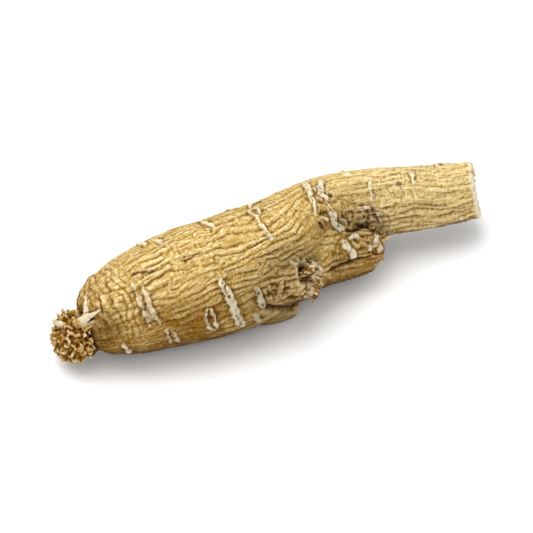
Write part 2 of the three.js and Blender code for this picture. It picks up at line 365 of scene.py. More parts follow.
def roundPath(share, start, end, knots=5):  # across the body's skin, between two angles in degrees
    line = spineRun("body")
    across, over = spineFrame(line)[1:]
    k = round(share * (len(line) - 1))
    turns = np.radians(np.linspace(start, end, knots))
    return [line[k, :3] + across[k] * line[k, 3] * math.cos(t) + over[k] * line[k, 4] * math.sin(t)
            for t in turns]


def pathReach(points, path, pieces=4):
    # The points near a path laid on the skin, their distance from it, and the share of it they are at
    path = np.array(path)
    near = np.all((points > path.min(axis=0) - 3) & (points < path.max(axis=0) + 3), axis=1)
    near = np.flatnonzero(near)
    spots = points[near]
    way = [path[-1]]
    for a, b in zip(path[:-1], path[1:]):
        way += list(np.linspace(a, b, pieces, endpoint=False))
    way = np.array(way[1:] + way[:1])
    way = np.array([spots[np.argmin(np.linalg.norm(spots - knot, axis=1))] for knot in way])
    best = np.full(len(spots), 1e3)
    share = np.zeros(len(spots))
    for i in range(len(way) - 1):
        step = way[i + 1] - way[i]
        s = np.clip((spots - way[i]) @ step / max(step @ step, 1e-6), 0, 1)
        d = np.linalg.norm(spots - way[i] - np.outer(s, step), axis=1)
        nearer = d < best
        best[nearer] = d[nearer]
        share[nearer] = (i + s[nearer]) / (len(way) - 1)
    return near, best, share


def scarRelief(points):
    lift = np.zeros(len(points))
    cream = np.zeros(len(points))
    paintedShade = np.zeros(len(points))
    edge = 0.26 * noise(points / 0.9, 5) + 0.12 * noise(points / 0.4, 6)
    across = [{"path": roundPath(*row[:3]), "width": row[3], "height": row[4], "gap": row[5]}
              for row in roundScars]
    for k, scar in enumerate(scars + across):  # a raised pale lip, with painted shade as a thin dark outline and in the hollow between two lips
        near, reach, share = pathReach(points, scar["path"])
        gap = scar.get("gap", 0)
        if scar.get("lens"):
            gap = gap * np.sqrt(np.clip(4 * share * (1 - share), 0, 1))
        reach = reach + edge[near]
        spots = points[near]
        ends = smooth(share, -0.02, 0.15) * (1 - smooth(share, 0.85, 1.02))
        slim = scar["width"] * (0.5 + 0.5 * ends) * (1 + 0.8 * noise(spots / 1.1, 60 + k))
        away = np.abs(reach - gap)
        bump = smooth(1 - away / slim, 0.0, 0.5)
        rough = 0.85 + 0.9 * noise(spots / 0.6, 20 + k)
        lift[near] = np.maximum(lift[near], scar["height"] * bump * np.clip(rough, 0, 1.5))
        cream[near] = np.maximum(cream[near], scar.get("pale", 1.0) * bump * smooth(rough, 0.25, 0.7))
        outline = ends * smooth(away / slim, 0.7, 1.0) * (1 - smooth(away, slim + 0.1, slim + 0.4))
        paintedShade[near] = np.maximum(paintedShade[near], 0.75 * outline * smooth(noise(spots / 1.3, 80 + k), -0.4, 0.2))
        paintedShade[near] = np.maximum(paintedShade[near], 0.5 * smooth(gap - 0.6 * scar["width"] - reach, 0.0, 0.2))
    for path, width, depth, broken in cracks:  # grooves, darkened with painted shade
        near, reach, share = pathReach(points, path)
        reach = np.maximum(reach + edge[near], 0)
        ends = smooth(share, -0.02, 0.15) * (1 - smooth(share, 0.85, 1.02))
        cut = np.exp(-(reach / (width * (0.5 + 0.5 * ends))) ** 2) * (0.3 + 0.7 * ends)
        if broken:
            cut = cut * smooth(noise(points[near] / 1.2, 95), -0.2, 0.3)
        lift[near] -= depth * cut
        paintedShade[near] = np.maximum(paintedShade[near], 0.9 * cut)
        cream[near] *= 1 - cut
    crumble = noise(points / 0.95, 91) + 0.55 * noise(points / 0.42, 92)
    for at, size, depth, rough, pale in breaks:  # crumbled ground, with painted shade in its pits
        reach = np.linalg.norm((points - at) / size, axis=1)
        reach = reach + 0.25 * noise(points / 1.1, 90)
        inside = 1 - smooth(reach, 0.7, 1.0)
        lift += inside * (rough * (1.5 * crumble - 0.2) - depth)
        shade = smooth(rough, 0.1, 0.5)
        paintedShade = np.maximum(paintedShade, shade * inside * smooth(depth * 0.5 - crumble, 0.1, 0.5))
        clean = pale * (1 - 0.7 * depth)
        cream = np.maximum(cream, clean * inside * smooth(crumble, 0.25, 0.45))
        paintedShade = np.maximum(paintedShade, 0.7 * depth * (1 - smooth(reach, 0.6, 0.95)))
    return lift, cream, np.clip(paintedShade, 0, 1)


def bodyCopy():
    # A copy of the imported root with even, eased skin and without the knob, which the crown stands in for
    piece = bpy.data.objects.new("rootSkin", rootNode.data.copy())
    bpy.context.scene.collection.objects.link(piece)
    start = meshPoints(piece.data)
    middle = np.array(crown["centre"][1:]) * mm
    out = start[:, 1:] - middle
    slimmer = np.minimum(1, skin["neckRadius"] * mm / np.linalg.norm(out, axis=1))
    slimmer = np.where(start[:, 0] < skin["neck"] * mm, slimmer, 1)
    start[:, 1:] = middle + out * slimmer[:, None]
    start[:, 0] = np.maximum(start[:, 0], skin["neck"] * mm)
    movePoints(piece.data, start)
    weld = piece.modifiers.new("weld", "WELD")
    weld.merge_threshold = 0.01 * mm
    rounder = piece.modifiers.new("rounder", "SUBSURF")
    rounder.levels = 1
    rounder.render_levels = 1
    fuse(piece, skin["voxel"], skin["easing"])
    print("  even skin:", len(piece.data.vertices), "points")
    return piece


def isForm(own, name):
    return own == formNames.index(name)


def wrinkleRelief(points, run, name):
    # The dried skin's ridges and wrinkles on one form, in mm, where the points lie along and round it
    along, share, angle, radius = run["along"], run["share"], run["angle"], run["radius"]
    isBody = name == "body"
    seed = formNames.index(name) * 17.3  # each form has its own pattern

    # The skin unrolled: mm along, and two coordinates that go round without a seam
    girth = skin["girthRadius"] * (radius / skin["girthRadius"]) ** 0.6
    wander = noise(np.c_[along / 11, np.cos(angle), np.sin(angle)] + seed, 3)
    turn = angle + 1.1 * wander / girth
    rolled = np.c_[along, girth * np.cos(turn), girth * np.sin(turn)] + seed

    # Lengthwise ridges that sway together, and are counted anew where the root narrows
    drift = 1.5 * noise(rolled / (9, 3.5, 3.5), 31) + 0.6 * noise(rolled / (3.4, 1.7, 1.7), 32)
    drift += 0.17 * noise(rolled / (1.3, 0.9, 0.9), 33)
    narrow = smooth(share + 0.06 * wander, 0.42, 0.62) if isBody else np.ones(len(points))

    def ridges(spacing, sway, k):
        height = 0
        for ridgeRadius, weight in zip(skin["ridgeRadii"], (1 - narrow, narrow)):
            number = round(2 * np.pi * ridgeRadius / spacing)
            phase = number * angle / (2 * np.pi) + sway / spacing
            height = height + weight * np.abs(np.sin(np.pi * phase)) ** 0.55
        shallow = smooth(noise(rolled / (3.2, 0.9, 0.9), k), -0.2, 0.4)
        return height + (1 - height) * 0.75 * shallow

    def wrinkle(size, k):  # 0 in a narrow crooked furrow, 1 on the rounded ground between
        run, across = size
        return np.sqrt(np.minimum(np.abs(noise(rolled / (run, across, across), k)) * 2.2, 1))

    main = ridges(skin["ridgeGap"], drift, 34)
    fine = ridges(skin["fineGap"], 1.3 * drift + 0.4 * noise(rolled / (1.6, 1, 1), 36), 35)
    small = wrinkle(skin["wrinkleSize"], 2)
    cross = wrinkle(skin["crossSize"], 4)
    ringPhase = along / skin["ringGap"] + 0.9 * noise(rolled / (3, 2.5, 2.5), 37)
    ringPhase += 0.25 * noise(rolled / 0.9, 38)
    rings = np.abs(np.sin(np.pi * ringPhase)) ** 0.7
    beadPhase = skin["knobsRound"] * angle / (2 * np.pi) + 1.6 * drift + 0.4 * noise(rolled / 0.8, 42)
    beads = np.abs(np.sin(np.pi * beadPhase)) ** 0.8
    knobs = rings * (0.9 + 0.1 * beads) * (0.9 + 0.5 * noise(rolled / 0.7, 39))
    patch = smooth(noise(points / 4, 10), -0.4, 0.4)
    calm = smooth(noise(rolled / (9, 4, 4), 12), -0.4, 0.4)

    shoulder = isBody * (1 - smooth(along + 1.8 * wander, 0.4 * skin["ringEnd"], skin["ringEnd"]))
    shoulder = shoulder * (0.3 + 0.7 * smooth(points[:, 2], 5.5, 9.0))
    lengthwise = (1 - 0.62 * shoulder) * {"pad": 0.25, "bulge": 1.5}.get(name, 1)
    if isBody:
        lengthwise = lengthwise * (1 - 0.4 * narrow * smooth(np.sin(angle), 0.2, 0.9))
    height = skin["furrowDepth"] * lengthwise * (main - 0.6) * (0.7 + 0.5 * calm)
    height += skin["fineDepth"] * lengthwise * (fine - 0.6) * (0.6 + 0.6 * patch)
    height += skin["wrinkleDepth"] * (small - 0.6)
    height += skin["crossDepth"] * (cross - 0.6) * (0.4 + 0.9 * patch)
    height += skin["ringDepth"] * shoulder * (knobs - 0.5)
    height += skin["lump"] * noise(rolled / (2.2, 0.8, 0.8), 40) + skin["grit"] * noise(points / 0.4, 9)
    # Darker in furrow bottoms and in the gaps between knobs: soil, and painted shade
    soilAndShade = 0.8 * lengthwise * (1 - smooth(main, 0.1, 0.5))
    soilAndShade = np.maximum(soilAndShade, shoulder * (1 - smooth(knobs, 0.15, 0.55)))
    return height, rolled, soilAndShade


def blendWrinkles(points, runs, heights):  # the wrinkles of one form run over into the next
    height, soilAndShade = np.zeros((2, len(points)))
    rolled = np.zeros((len(points), 3))
    weights = np.exp((heights.min(axis=0) - heights) / skin["blend"])
    weights = np.where(weights > 0.04, weights, 0)
    weights /= weights.sum(axis=0)
    for name, weight, run in zip(formNames, weights, runs):
        near = np.flatnonzero(weight)
        part = {key: values[near] for key, values in run.items()}
        formHeight, formRolled, formSoilAndShade = wrinkleRelief(points[near], part, name)
        height[near] += weight[near] * formHeight
        soilAndShade[near] += weight[near] * formSoilAndShade
        rolled[near] += weight[near, None] * formRolled
    return height, rolled, soilAndShade


def openClefts(points, runs, own, second, gap):
    # How open the clefts between the forms are at each point, and how dark their shade is there
    cleft, shade = np.zeros((2, len(points)))
    edge = gap + 0.15 * noise(points / 0.7, 43)
    for first, other, start, top, reach in clefts:
        one = formNames.index(first)
        two = formNames.index(other)
        pair = ((own == one) & (second == two)) | ((own == two) & (second == one))
        opened = smooth(runs[two]["share"], start, start + 0.15) * (1 - smooth(points[:, 2], top - 1.5, top))
        cleft = np.maximum(cleft, pair * opened * (1 - smooth(edge, 0.05, 0.55)))
        shade = np.maximum(shade, pair * opened * (1 - smooth(edge, 0.05, reach)))
    return cleft, shade


def cutFace(points, angle, inside):  # the relief of the cut end: a ring, and cracks from its middle
    spokes = np.abs(noise(np.c_[7 * np.cos(angle), 7 * np.sin(angle), 0.6 * inside] / 1.6, 46))
    groove = np.exp(-((inside - 0.62 + 0.04 * noise(points, 47)) / 0.05) ** 2)
    face = 0.08 * noise(points / 0.5, 48) - 0.2 * groove
    return face - 0.22 * (1 - smooth(spokes, 0.02, 0.12)) * (inside > 0.12)


def lowSideShadeTone(points, normals, rolled, own, heights, tail):
    # Painted shade: the lower side is made browner, the more so as the skin turns away from facing up, but
    # less so near the side roots, on the tail, and low on the flank near the crown
    tone = 1 - smooth(normals[:, 2] + 0.2 * noise(points / 3, 41), 0.05, 1.05)
    tone = tone * (1 - 0.7 * tail) * (0.2 + 0.8 * smooth(heights[formNames.index("pad")], 1.6, 4.2))
    tone = tone * np.where(isForm(own, "bulge"), 0.6, np.where(isForm(own, "fork"), 0.75, 1))
    tone = tone * (0.35 + 0.65 * smooth(heights[formNames.index("bulge")], 0.9, 4.0))
    lowFlank = np.exp(-((points[:, 0] - skin["flankPlace"]) / skin["flankReach"]) ** 2)
    lowFlank = lowFlank * (1 - smooth(points[:, 2], 7.5, 10.5))
    tone = tone * (1 - 0.4 * lowFlank)
    return tone * (0.92 + 0.6 * noise(rolled / (3, 0.7, 0.7), 51))


def makeSkin(material):
    piece = bodyCopy()
    mesh = piece.data
    points = meshPoints(mesh) / mm

    runs = [alongForm(points, name) for name in formNames]
    heights = np.array([run["height"] for run in runs])
    own, second = np.argsort(heights, axis=0)[:2]
    order = np.sort(heights, axis=0)
    gap = order[1] - order[0]

    # Rounds out the lines where the forms grew together, and the end of the pad
    padEnd = isForm(own, "pad") * smooth(runs[formNames.index("pad")]["share"], 0.6, 0.9)
    blunt = np.maximum(1 - smooth(gap, 0.4, 1.6), padEnd)[:, None]
    points = points + blunt * (easedPoints(mesh, skin["bluntRounds"]) - points)
    movePoints(mesh, points * mm)
    normals = meshNormals(mesh)

    here = {key: np.array([run[key] for run in runs])[own, np.arange(len(points))] for key in runs[0]}
    share, angle, inside = here["share"], here["angle"], here["inside"]
    isBody = isForm(own, "body")
    isSide = ~isBody & ~isForm(own, "pad")

    height, rolled, soilAndShade = blendWrinkles(points, runs, heights)
    cleft, shade = openClefts(points, runs, own, second, gap)
    height = height * (0.4 + 0.6 * smooth(points[:, 2], 0.5, 4.0)) - skin["creaseDepth"] * cleft

    # Torn ends of the side roots: rough, and some of the fibres reach further than others
    torn = np.maximum(smooth(share, 0.86, 0.97) * smooth(inside, 0.5, 0.8), smooth(share, 0.93, 1.0))
    torn = torn * isSide
    pit = isForm(own, "bulge") * smooth(share, 0.82, 0.9) * (1 - smooth(inside, 0.65, 0.9))
    height += np.maximum(torn, 1.4 * pit) * (0.28 * noise(points / 0.9, 13) + 0.2 * noise(points / 0.4, 14))
    ragged = np.c_[np.cos(angle), np.sin(angle), own * 3.1] * 2.2
    push = isSide * smooth(share, 0.86, 1.0) * smooth(inside, 0.4, 0.8)
    push = push * (0.15 + 0.9 * noise(ragged, 44))

    # The tail is cut off on a slant, with a thin ragged rim round its face
    cut = isBody * smooth(share, 0.985, 0.995) * (1 - smooth(inside, 0.84, 0.9))
    rim = isBody * smooth(share + 0.006 * noise(points / 0.8, 45), 0.988, 0.995) * smooth(inside, 0.82, 0.9)
    height = np.where(cut > 0.5, cutFace(points, angle, inside), height)
    side = (points - spineRun("body")[-1, :3]) @ skin["cutSide"]
    push += isBody * smooth(share, 0.82, 0.99) * (skin["cutReach"] - skin["cutSlant"] * side)

    lift, cream, paintedShade = scarRelief(points)
    height = height * (1 - 0.75 * cream) + lift + 0.14 * rim * (0.6 + noise(points / 0.7, 49))
    moved = points + normals * height[:, None] + here["ahead"] * push[:, None]
    moved[:, 2] = np.maximum(moved[:, 2], 0.0)
    movePoints(mesh, moved * mm)

    # The hollows are browner, partly soil and partly painted shade, and the crests are paler, partly rubbed
    # and partly painted highlight. The side roots are browner, painted shade darkens the lower side, the
    # shoulder is paler, and the tail is the palest.
    hollow = hollowness(mesh, skin["hollowRounds"])
    fineHollow = hollowness(mesh, skin["fineRounds"])
    # Painted shade in the gap between the crown and the shoulder, in the dark and bark colours
    fromNeck = np.hypot(points[:, 1] + 0.5, points[:, 2] - 4.5)
    neck = (1 - smooth(fromNeck, 3.0, 4.2)) * smooth(-points[:, 0], 26.8, 27.8)
    # Painted shadow of the bracts on the shoulder
    collar = 1 - smooth(np.linalg.norm(points - skin["bractShadowPlace"], axis=1), *skin["bractShadowReach"])
    shoulder = 1 - smooth(points[:, 0], *skin["shoulderPale"])
    tail = isBody * smooth(share, 0.55, 0.8)
    # Painted shade: the lower side of the root is made browner
    lowSideShade = lowSideShadeTone(points, normals, rolled, own, heights, tail)
    # Painted shade on skin that faces down, darkest along the lower outline
    downFacingShade = smooth(-normals[:, 2], 0.15, 0.75)
    sideTone = 0.95 * isForm(own, "fork") * smooth(gap, 0.0, 1.2)
    sideTone += 0.75 * isForm(own, "bulge") * smooth(gap, -0.4, 0.6)
    # Hollows are browner: soil, and painted shade, joined by the clefts' shade
    furrow = np.maximum(smooth(hollow + 0.5 * fineHollow, -0.03, 0.13), soilAndShade * (1 - cream))
    addMasks(mesh, rolled, {
        "furrow": np.maximum(furrow, shade),
        # Depth is painted shade: deep hollows, the clefts' shade, down-facing skin and the bracts' shadow
        "depth": np.max([smooth(hollow, 0.12, 0.3), shade, 0.95 * downFacingShade, 0.4 * collar], axis=0),
        # Crests: rubbed pale skin, and a painted highlight that fades on the lower side
        "crestPaleAndHighlight": smooth(-hollow - 0.4 * fineHollow, 0.0, 0.12) * (1 - 0.8 * lowSideShade),
        "cream": np.maximum(cream, rim),
        # Painted shade in cracks, pits, round the scars, in the neck gap and in the torn hollow
        "paintedShade": np.maximum(np.maximum(paintedShade, neck), pit * smooth(fineHollow, -0.06, 0.02)),
        # Brown: the side roots' own brown, and painted shade on the lower side
        "brownAndLowSideShade": np.maximum(lowSideShade, sideTone * (0.75 + 0.9 * noise(rolled / (2.4, 0.7, 0.7), 50))),
        "pale": np.maximum(tail, 0.15 * shoulder) * (1 - lowSideShade),
        "bark": np.maximum(torn, neck),
        "cut": cut,
    })
    dressPiece(piece, material)


# What the crown and the torn ends share
bark = {
    "voxel": 0.11,
    "easing": 2,
    "jitter": 0.1,
    "hollowRounds": 28,
    "tableGap": 0.15,  # a collar scale or torn bit that would hang lower is left off
}
crown = {
    "centre": (-29.8, -0.4, 4.5),
    "core": (2.75, 3.2, 3.1),
    "scales": 210,
    "sink": 0.35,  # how far inside the core the scales begin
    "length": (0.6, 1.35),
    "width": (0.22, 0.56),  # half widths
    "thick": 0.5,
    "bractThick": 0.42,
    "collar": 46,  # scales in the gap between the crown and the shoulder
    "collarX": (-28.7, -28.1),
    "collarCentre": (-0.3, 4.4),  # y and z of the ring they stand on
    "collarRadii": (2.7, 2.6),
    "collarLength": (0.7, 1.3),
}
# Larger bracts, some laid back over the shoulder: base, direction, outward, length, half width
bracts = [
    ((-30.2, -1.6, 7.9), (0.79, -0.37, 0.66), (-0.3, -0.6, 0.75), 4.9, 0.68),
    ((-28.6, -1.9, 8.8), (0.4, 0.76, 0.53), (-0.5, -0.6, 0.6), 3.7, 0.46),
    ((-31.1, -0.5, 7.1), (-0.61, 0.76, 0.3), (-0.5, -0.3, 0.8), 2.0, 0.45),
    ((-29.4, -2.5, 7.5), (0.8, -0.25, 0.62), (-0.3, -0.7, 0.6), 3.2, 0.5),
    ((-29.4, -0.4, 6.9), (0.3, 0.4, 0.9), (-0.8, -0.2, 0.5), 2.2, 0.6),
    ((-29.6, 0.8, 6.8), (-0.1, 0.3, 0.95), (-0.9, -0.3, 0.3), 1.8, 0.6),
    ((-30.4, 1.2, 7.0), (-0.1, 0.4, 0.9), (-0.9, -0.3, 0.2), 1.6, 0.5),
    ((-31.0, 0.8, 6.8), (-0.3, 0.3, 0.9), (-0.9, -0.3, 0.2), 1.8, 0.5),
    ((-31.6, 0.3, 6.4), (-0.5, 0.2, 0.85), (-0.8, -0.3, 0.2), 2.0, 0.45),
    ((-32.0, -0.6, 5.9), (-0.7, 0.0, 0.7), (-0.7, -0.3, 0.4), 1.7, 0.42),
    ((-30.7, -1.4, 6.8), (-0.3, 0.0, 0.95), (-0.9, -0.4, 0.1), 1.6, 0.5),
    ((-29.6, -3.6, 4.8), (0.5, -0.75, 0.35), (-0.5, -0.8, 0.2), 1.6, 0.45),
]


def curledScale(base, forward, outward, length, width, thick, curl, cup, point):
    # A closed leaf of bark: it starts at base, runs forward, curls outward and narrows to its tip
    forward = Vector(forward).normalized()
    outward = Vector(outward)
    side = forward.cross(outward).normalized()
    rise = side.cross(forward)
    rings = []
    steps = 6
    for i in range(steps + 1):
        s = i / steps
        bend = curl * s
        spot = Vector(base) + length * (s * forward + 0.5 * s * bend * rise)
        lift = (rise - bend * forward).normalized()
        half = width * (1 - point * s) * (1 - s ** 6) ** 0.5 + 0.04
        body = thick * (1 - 0.45 * s) / 2
        across = (-1, -0.5, 0, 0.5, 1)
        ring = [spot + side * (w * half) + lift * (body - cup * w * w * half) for w in across]
        ring += [spot - side * (w * half) + lift * (-body - cup * w * w * half) for w in across]
        rings.append(ring)
    points = [p for ring in rings for p in ring]
    count = len(rings[0])
    faces = [tuple(range(count - 1, -1, -1))]
    for i in range(steps):
        for j in range(count):
            a = i * count + j
            b = i * count + (j + 1) % count
            faces.append((a, b, b + count, a + count))
    faces.append(tuple(steps * count + j for j in range(count)))
    return points, faces


def ball(centre, size, rows=14, around=20):
    points = [Vector(centre) + Vector((size[0], 0, 0))]
    for i in range(1, rows):
        tilt = math.pi * i / rows
        for j in range(around):
            turn = 2 * math.pi * j / around
            spot = (size[0] * math.cos(tilt), size[1] * math.sin(tilt) * math.cos(turn),
                    size[2] * math.sin(tilt) * math.sin(turn))
            points.append(Vector(centre) + Vector(spot))
    points.append(Vector(centre) - Vector((size[0], 0, 0)))
    faces = []
    last = 1 + (rows - 2) * around
    for j in range(around):
        k = (j + 1) % around
        faces.append((0, 1 + j, 1 + k))
        for a in range(1, last, around):
            faces.append((a + j, a + around + j, a + around + k, a + k))
        faces.append((last + j, len(points) - 1, last + k))
    return points, faces


def clearOfTable(leaf):
    return min(p[2] for p in leaf[0]) > bark["tableGap"]


def gather(name, parts):  # one piece made of many closed parts
    points = []
    faces = []
    for partPoints, partFaces in parts:
        start = len(points)
        points += [Vector(p) * mm for p in partPoints]
        faces += [tuple(i + start for i in face) for face in partFaces]
    return newPiece(name, points, faces)


def finishBark(piece, soiled, cream, material):
    # Fuses a piece's leaves of bark, roughens them, paints shade into their gaps and down faces, and pales
    # their edges
    fuse(piece, bark["voxel"], bark["easing"])
    mesh = piece.data
    points = meshPoints(mesh) / mm
    rough = bark["jitter"] * (noise(points / 0.6, 15) + 0.6 * noise(points / 0.28, 16))
    moved = points + meshNormals(mesh) * rough[:, None]
    moved[:, 2] = np.maximum(moved[:, 2], 0.0)
    movePoints(mesh, moved * mm)
    hollow = hollowness(mesh, bark["hollowRounds"])
    addMasks(mesh, points, {
        # Painted shade in the gaps between the leaves, and on faces that turn down
        "furrow": smooth(hollow, -0.08, 0.08),
        "depth": smooth(hollow, -0.02, 0.16),
        "paintedShade": 0.9 * smooth(hollow, 0.0, 0.17),
        "crestPaleAndHighlight": smooth(-hollow, 0.02, 0.2),
        "cream": cream(points, hollow),
        "brownAndLowSideShade": np.maximum(soiled, 0.6 * (1 - smooth(meshNormals(mesh)[:, 2], -0.5, 0.6))),
        "bark": np.ones(len(points)),
    })
    print(" ", piece.name, len(points), "points")
    dressPiece(piece, material)


def makeCrown(material):
    random = np.random.default_rng(31)
    draw = random.uniform
    centre = np.array(crown["centre"])
    core = np.array(crown["core"])
    parts = [ball(centre, core)]
    goldenTurn = math.pi * (3 - math.sqrt(5))
    for k in range(crown["scales"]):
        x = 1 - 2 * (k + 0.5) / crown["scales"]
        ring = math.sqrt(1 - x * x)
        out = np.array((x, ring * math.cos(k * goldenTurn), ring * math.sin(k * goldenTurn)))
        out += random.normal(0, 0.1, 3)
        out /= np.linalg.norm(out)
        loose = random.normal(0, 1, 3)
        flat = loose - out * (loose @ out)
        flat /= np.linalg.norm(flat)
        forward = out * draw(0.6, 1.2) + flat * draw(0.0, 0.9)
        parts.append(curledScale(
            centre + out * (core - crown["sink"]), forward, out + 0.3 * flat,
            draw(*crown["length"]), draw(*crown["width"]), crown["thick"],
            curl=draw(-0.3, 0.9), cup=draw(-0.3, 0.5), point=draw(-0.1, 0.6),
        ))
    for k in range(crown["collar"]):  # only those at the back and on top are kept
        turn = 2 * math.pi * k / crown["collar"]
        out = np.array((draw(-0.2, 0.5), math.cos(turn), math.sin(turn)))
        place = np.array(crown["collarCentre"]) + crown["collarRadii"] * out[1:]
        base = (draw(*crown["collarX"]), *place)
        forward = out + random.normal(0, 0.3, 3)
        leaf = curledScale(
            base, forward, (-1.0, 0.3 * out[1], 0.3 * out[2]), draw(*crown["collarLength"]),
            draw(*crown["width"]), crown["thick"],
            curl=draw(-0.3, 0.7), cup=0.3, point=0.3,
        )
        if clearOfTable(leaf) and (out[1] > 0.2 or out[2] > 0.7):
            parts.append(leaf)
    for bract in bracts:
        parts.append(curledScale(*bract, crown["bractThick"], curl=0.12, cup=0.35, point=0.85))
    piece = gather("crownScales", parts)

    def creamOf(points, hollow):
        pale = 0.85 * smooth(noise(points / 1.1, 18), -0.2, 0.3) * smooth(-hollow, 0.04, 0.22)
        for base, forward, _, length, half in bracts[:3]:  # the first three are the palest
            tip = np.array(base) + length * np.array(Vector(forward).normalized())
            near, reach, share = pathReach(points, [base, tip])
            bract = 0.9 * (1 - smooth(reach, half, half + 0.3)) * smooth(share, 0.1, 0.3)
            pale[near] = np.maximum(pale[near], bract)
        return pale

    finishBark(piece, 0.0, creamOf, material)


tornBark = {
    # How many bits of bark stand on each torn end, how far out, and how large they are
    "ends": {
        "fork": {"bits": 40, "spread": (0.5, 1.0), "length": (0.6, 1.2), "width": (0.3, 0.65)},
        "bulge": {"bits": 76, "spread": (0.1, 1.0), "length": (0.7, 1.4), "width": (0.2, 0.45)},
        "stub": {"bits": 16, "spread": (0.5, 0.95), "length": (0.5, 0.9), "width": (0.2, 0.4)},
    },
    # Fibres that stand in the hollow of the broken side root
    "fibres": {
        "count": 18,
        "at": (2.2, -7.9, 10.0),
        "spread": (1.3, 0.7, 1.2),
        "forward": (0.75, -0.45, 0.2),
        "outward": (-0.3, -0.6, 0.7),
        "length": (0.8, 1.5),
        "width": (0.12, 0.22),
    },
    "thick": 0.4,
    "stripThick": 0.42,
    "fibreThick": 0.26,
}
# Larger strips of bark that hang on: base, direction, outward, length, half width
strips = [
    ((16.2, -2.4, 6.6), (0.9, -0.45, 0.15), (0.0, 0.3, 1.0), 2.0, 0.42),
    ((15.8, -3.4, 4.6), (0.6, -0.3, -0.6), (0.6, -0.8, 0.2), 1.3, 0.6),
    ((15.9, -0.4, 6.8), (0.9, -0.1, 0.2), (0.0, 0.2, 1.0), 1.5, 0.5),
    ((3.7, -8.0, 6.2), (0.7, -0.2, -0.4), (0.5, -0.8, 0.1), 1.1, 0.6),
    ((4.2, -7.2, 6.6), (0.9, 0.1, -0.2), (0.3, -0.8, 0.5), 1.5, 0.5),
    ((2.8, -8.4, 6.4), (0.4, -0.2, -0.8), (0.6, -0.8, 0.0), 1.0, 0.55),
]


def makeTornBark(material):
    random = np.random.default_rng(47)
    draw = random.uniform
    parts = []
    for name, end in tornBark["ends"].items():
        line = spineRun(name)
        ahead, across, over = [vectors[-1] for vectors in spineFrame(line)]
        centre = line[-1, :3]
        wide, tall = line[-1, 3:]
        for _ in range(end["bits"]):
            turn = draw(0, 2 * math.pi)
            out = draw(*end["spread"])
            radial = across * math.cos(turn) + over * math.sin(turn)
            base = centre + out * (across * wide * math.cos(turn) + over * tall * math.sin(turn))
            base = base - ahead * draw(0.3, 1.0)
            forward = ahead * draw(0.4, 1) + radial * draw(-0.3, 0.6)
            forward = forward + random.normal(0, 0.3, 3)
            leaf = curledScale(
                base, forward, radial, draw(*end["length"]), draw(*end["width"]),
                tornBark["thick"], curl=draw(-0.6, 0.9), cup=draw(-0.5, 0.7),
                point=draw(0.0, 0.45),
            )
            if clearOfTable(leaf):
                parts.append(leaf)
    for strip in strips:
        parts.append(curledScale(*strip, tornBark["stripThick"], curl=0.3, cup=0.4, point=0.4))
    fibres = tornBark["fibres"]
    for _ in range(fibres["count"]):
        base = fibres["at"] + fibres["spread"] * draw(-1, 1, 3)
        forward = fibres["forward"] + random.normal(0, 0.28, 3)
        parts.append(curledScale(
            base, forward, fibres["outward"], draw(*fibres["length"]),
            draw(*fibres["width"]), tornBark["fibreThick"],
            curl=draw(-0.6, 0.9), cup=0.3, point=0.4,
        ))
    piece = gather("tornBark", parts)

    def creamOf(points, hollow):
        return 0.75 * smooth(noise(points / 0.8, 49), -0.1, 0.3) * smooth(-hollow, 0.0, 0.16)

    finishBark(piece, 0.5, creamOf, material)


def linear(hexColour):
    values = [int(hexColour[i:i + 2], 16) / 255 for i in (1, 3, 5)]
    return [v / 12.92 if v <= 0.04045 else ((v + 0.055) / 1.055) ** 2.4 for v in values] + [1.0]


def addNode(tree, kind, settings, inputs):  # an input is a plain value, or the socket that feeds it
    node = tree.nodes.new(kind)
    for name, value in settings.items():
        setattr(node, name, value)
    for name, value in inputs.items():
        if isinstance(value, bpy.types.NodeSocket):
            tree.links.new(value, node.inputs[name])
        else:
            node.inputs[name].default_value = value
    return node


driedRoot = {
    "skin": "#BE9D50",
    "roughness": 0.7,
    "ior": 1.45,
    "specular": 0.05,
    # Length along the root and width across it in mm, detail, and the part of the noise that is used
    "patterns": {
        "blotch": (9.0, 4.0, 2, 0.35, 0.65),
        "fleck": (0.9, 0.6, 2, 0.52, 0.75),
        "fibre": (1.8, 0.25, 2, 0.45, 0.75),  # real fibres are finer than the frame can show
        "mottleDark": (0.6, 0.4, 3, 0.52, 0.7),
        "mottlePale": (0.6, 0.4, 3, 0.46, 0.32),
        "fibreRelief": (1.6, 0.22, 2, 0.2, 0.8),
        "gritRelief": (0.45, 0.36, 3, 0.2, 0.8),
    },
    # What lies over what: pattern or mask, strength, colour
    "layers": [
        ("blotch", 0.6, "#D3B56C"),
        ("fleck", 0.5, "#DFC68C"),
        ("pale", 0.7, "#E2CB8E"),
        # The brown layers carry the side roots' own brown and painted shade on the lower side
        ("brownAndLowSideShade", 0.85, "#7C5808"),
        ("fibre", 0.5, "#85580B"),
        ("mottleDark", 0.5, "#7E5009"),
        ("bark", 0.75, "#A07020"),
        # Pale crests: rubbed skin, and painted highlight
        ("crestPaleAndHighlight", 0.65, "#F0E0B2"),
        ("mottlePale", 0.4, "#E8D5A2"),
        ("brownAndLowSideShade", 0.5, "#7D5604"),
        # Brown hollows: soil, and painted shade
        ("furrow", 0.8, "#6B3D02"),
        # Painted shade, near black, in deep hollows and clefts, on down-facing skin and under the bracts
        ("depth", 0.9, "#431D01"),
        ("cut", 1.0, "#C8AE80"),
        ("cream", 0.85, "#DED3B8"),
        # Painted shade, the darkest, in cracks, pits and gaps
        ("paintedShade", 0.9, "#3E1C02"),
    ],
    "reliefs": [("fibreRelief", 0.5), ("gritRelief", 0.6)],
    "reliefHeight": 0.2,
}


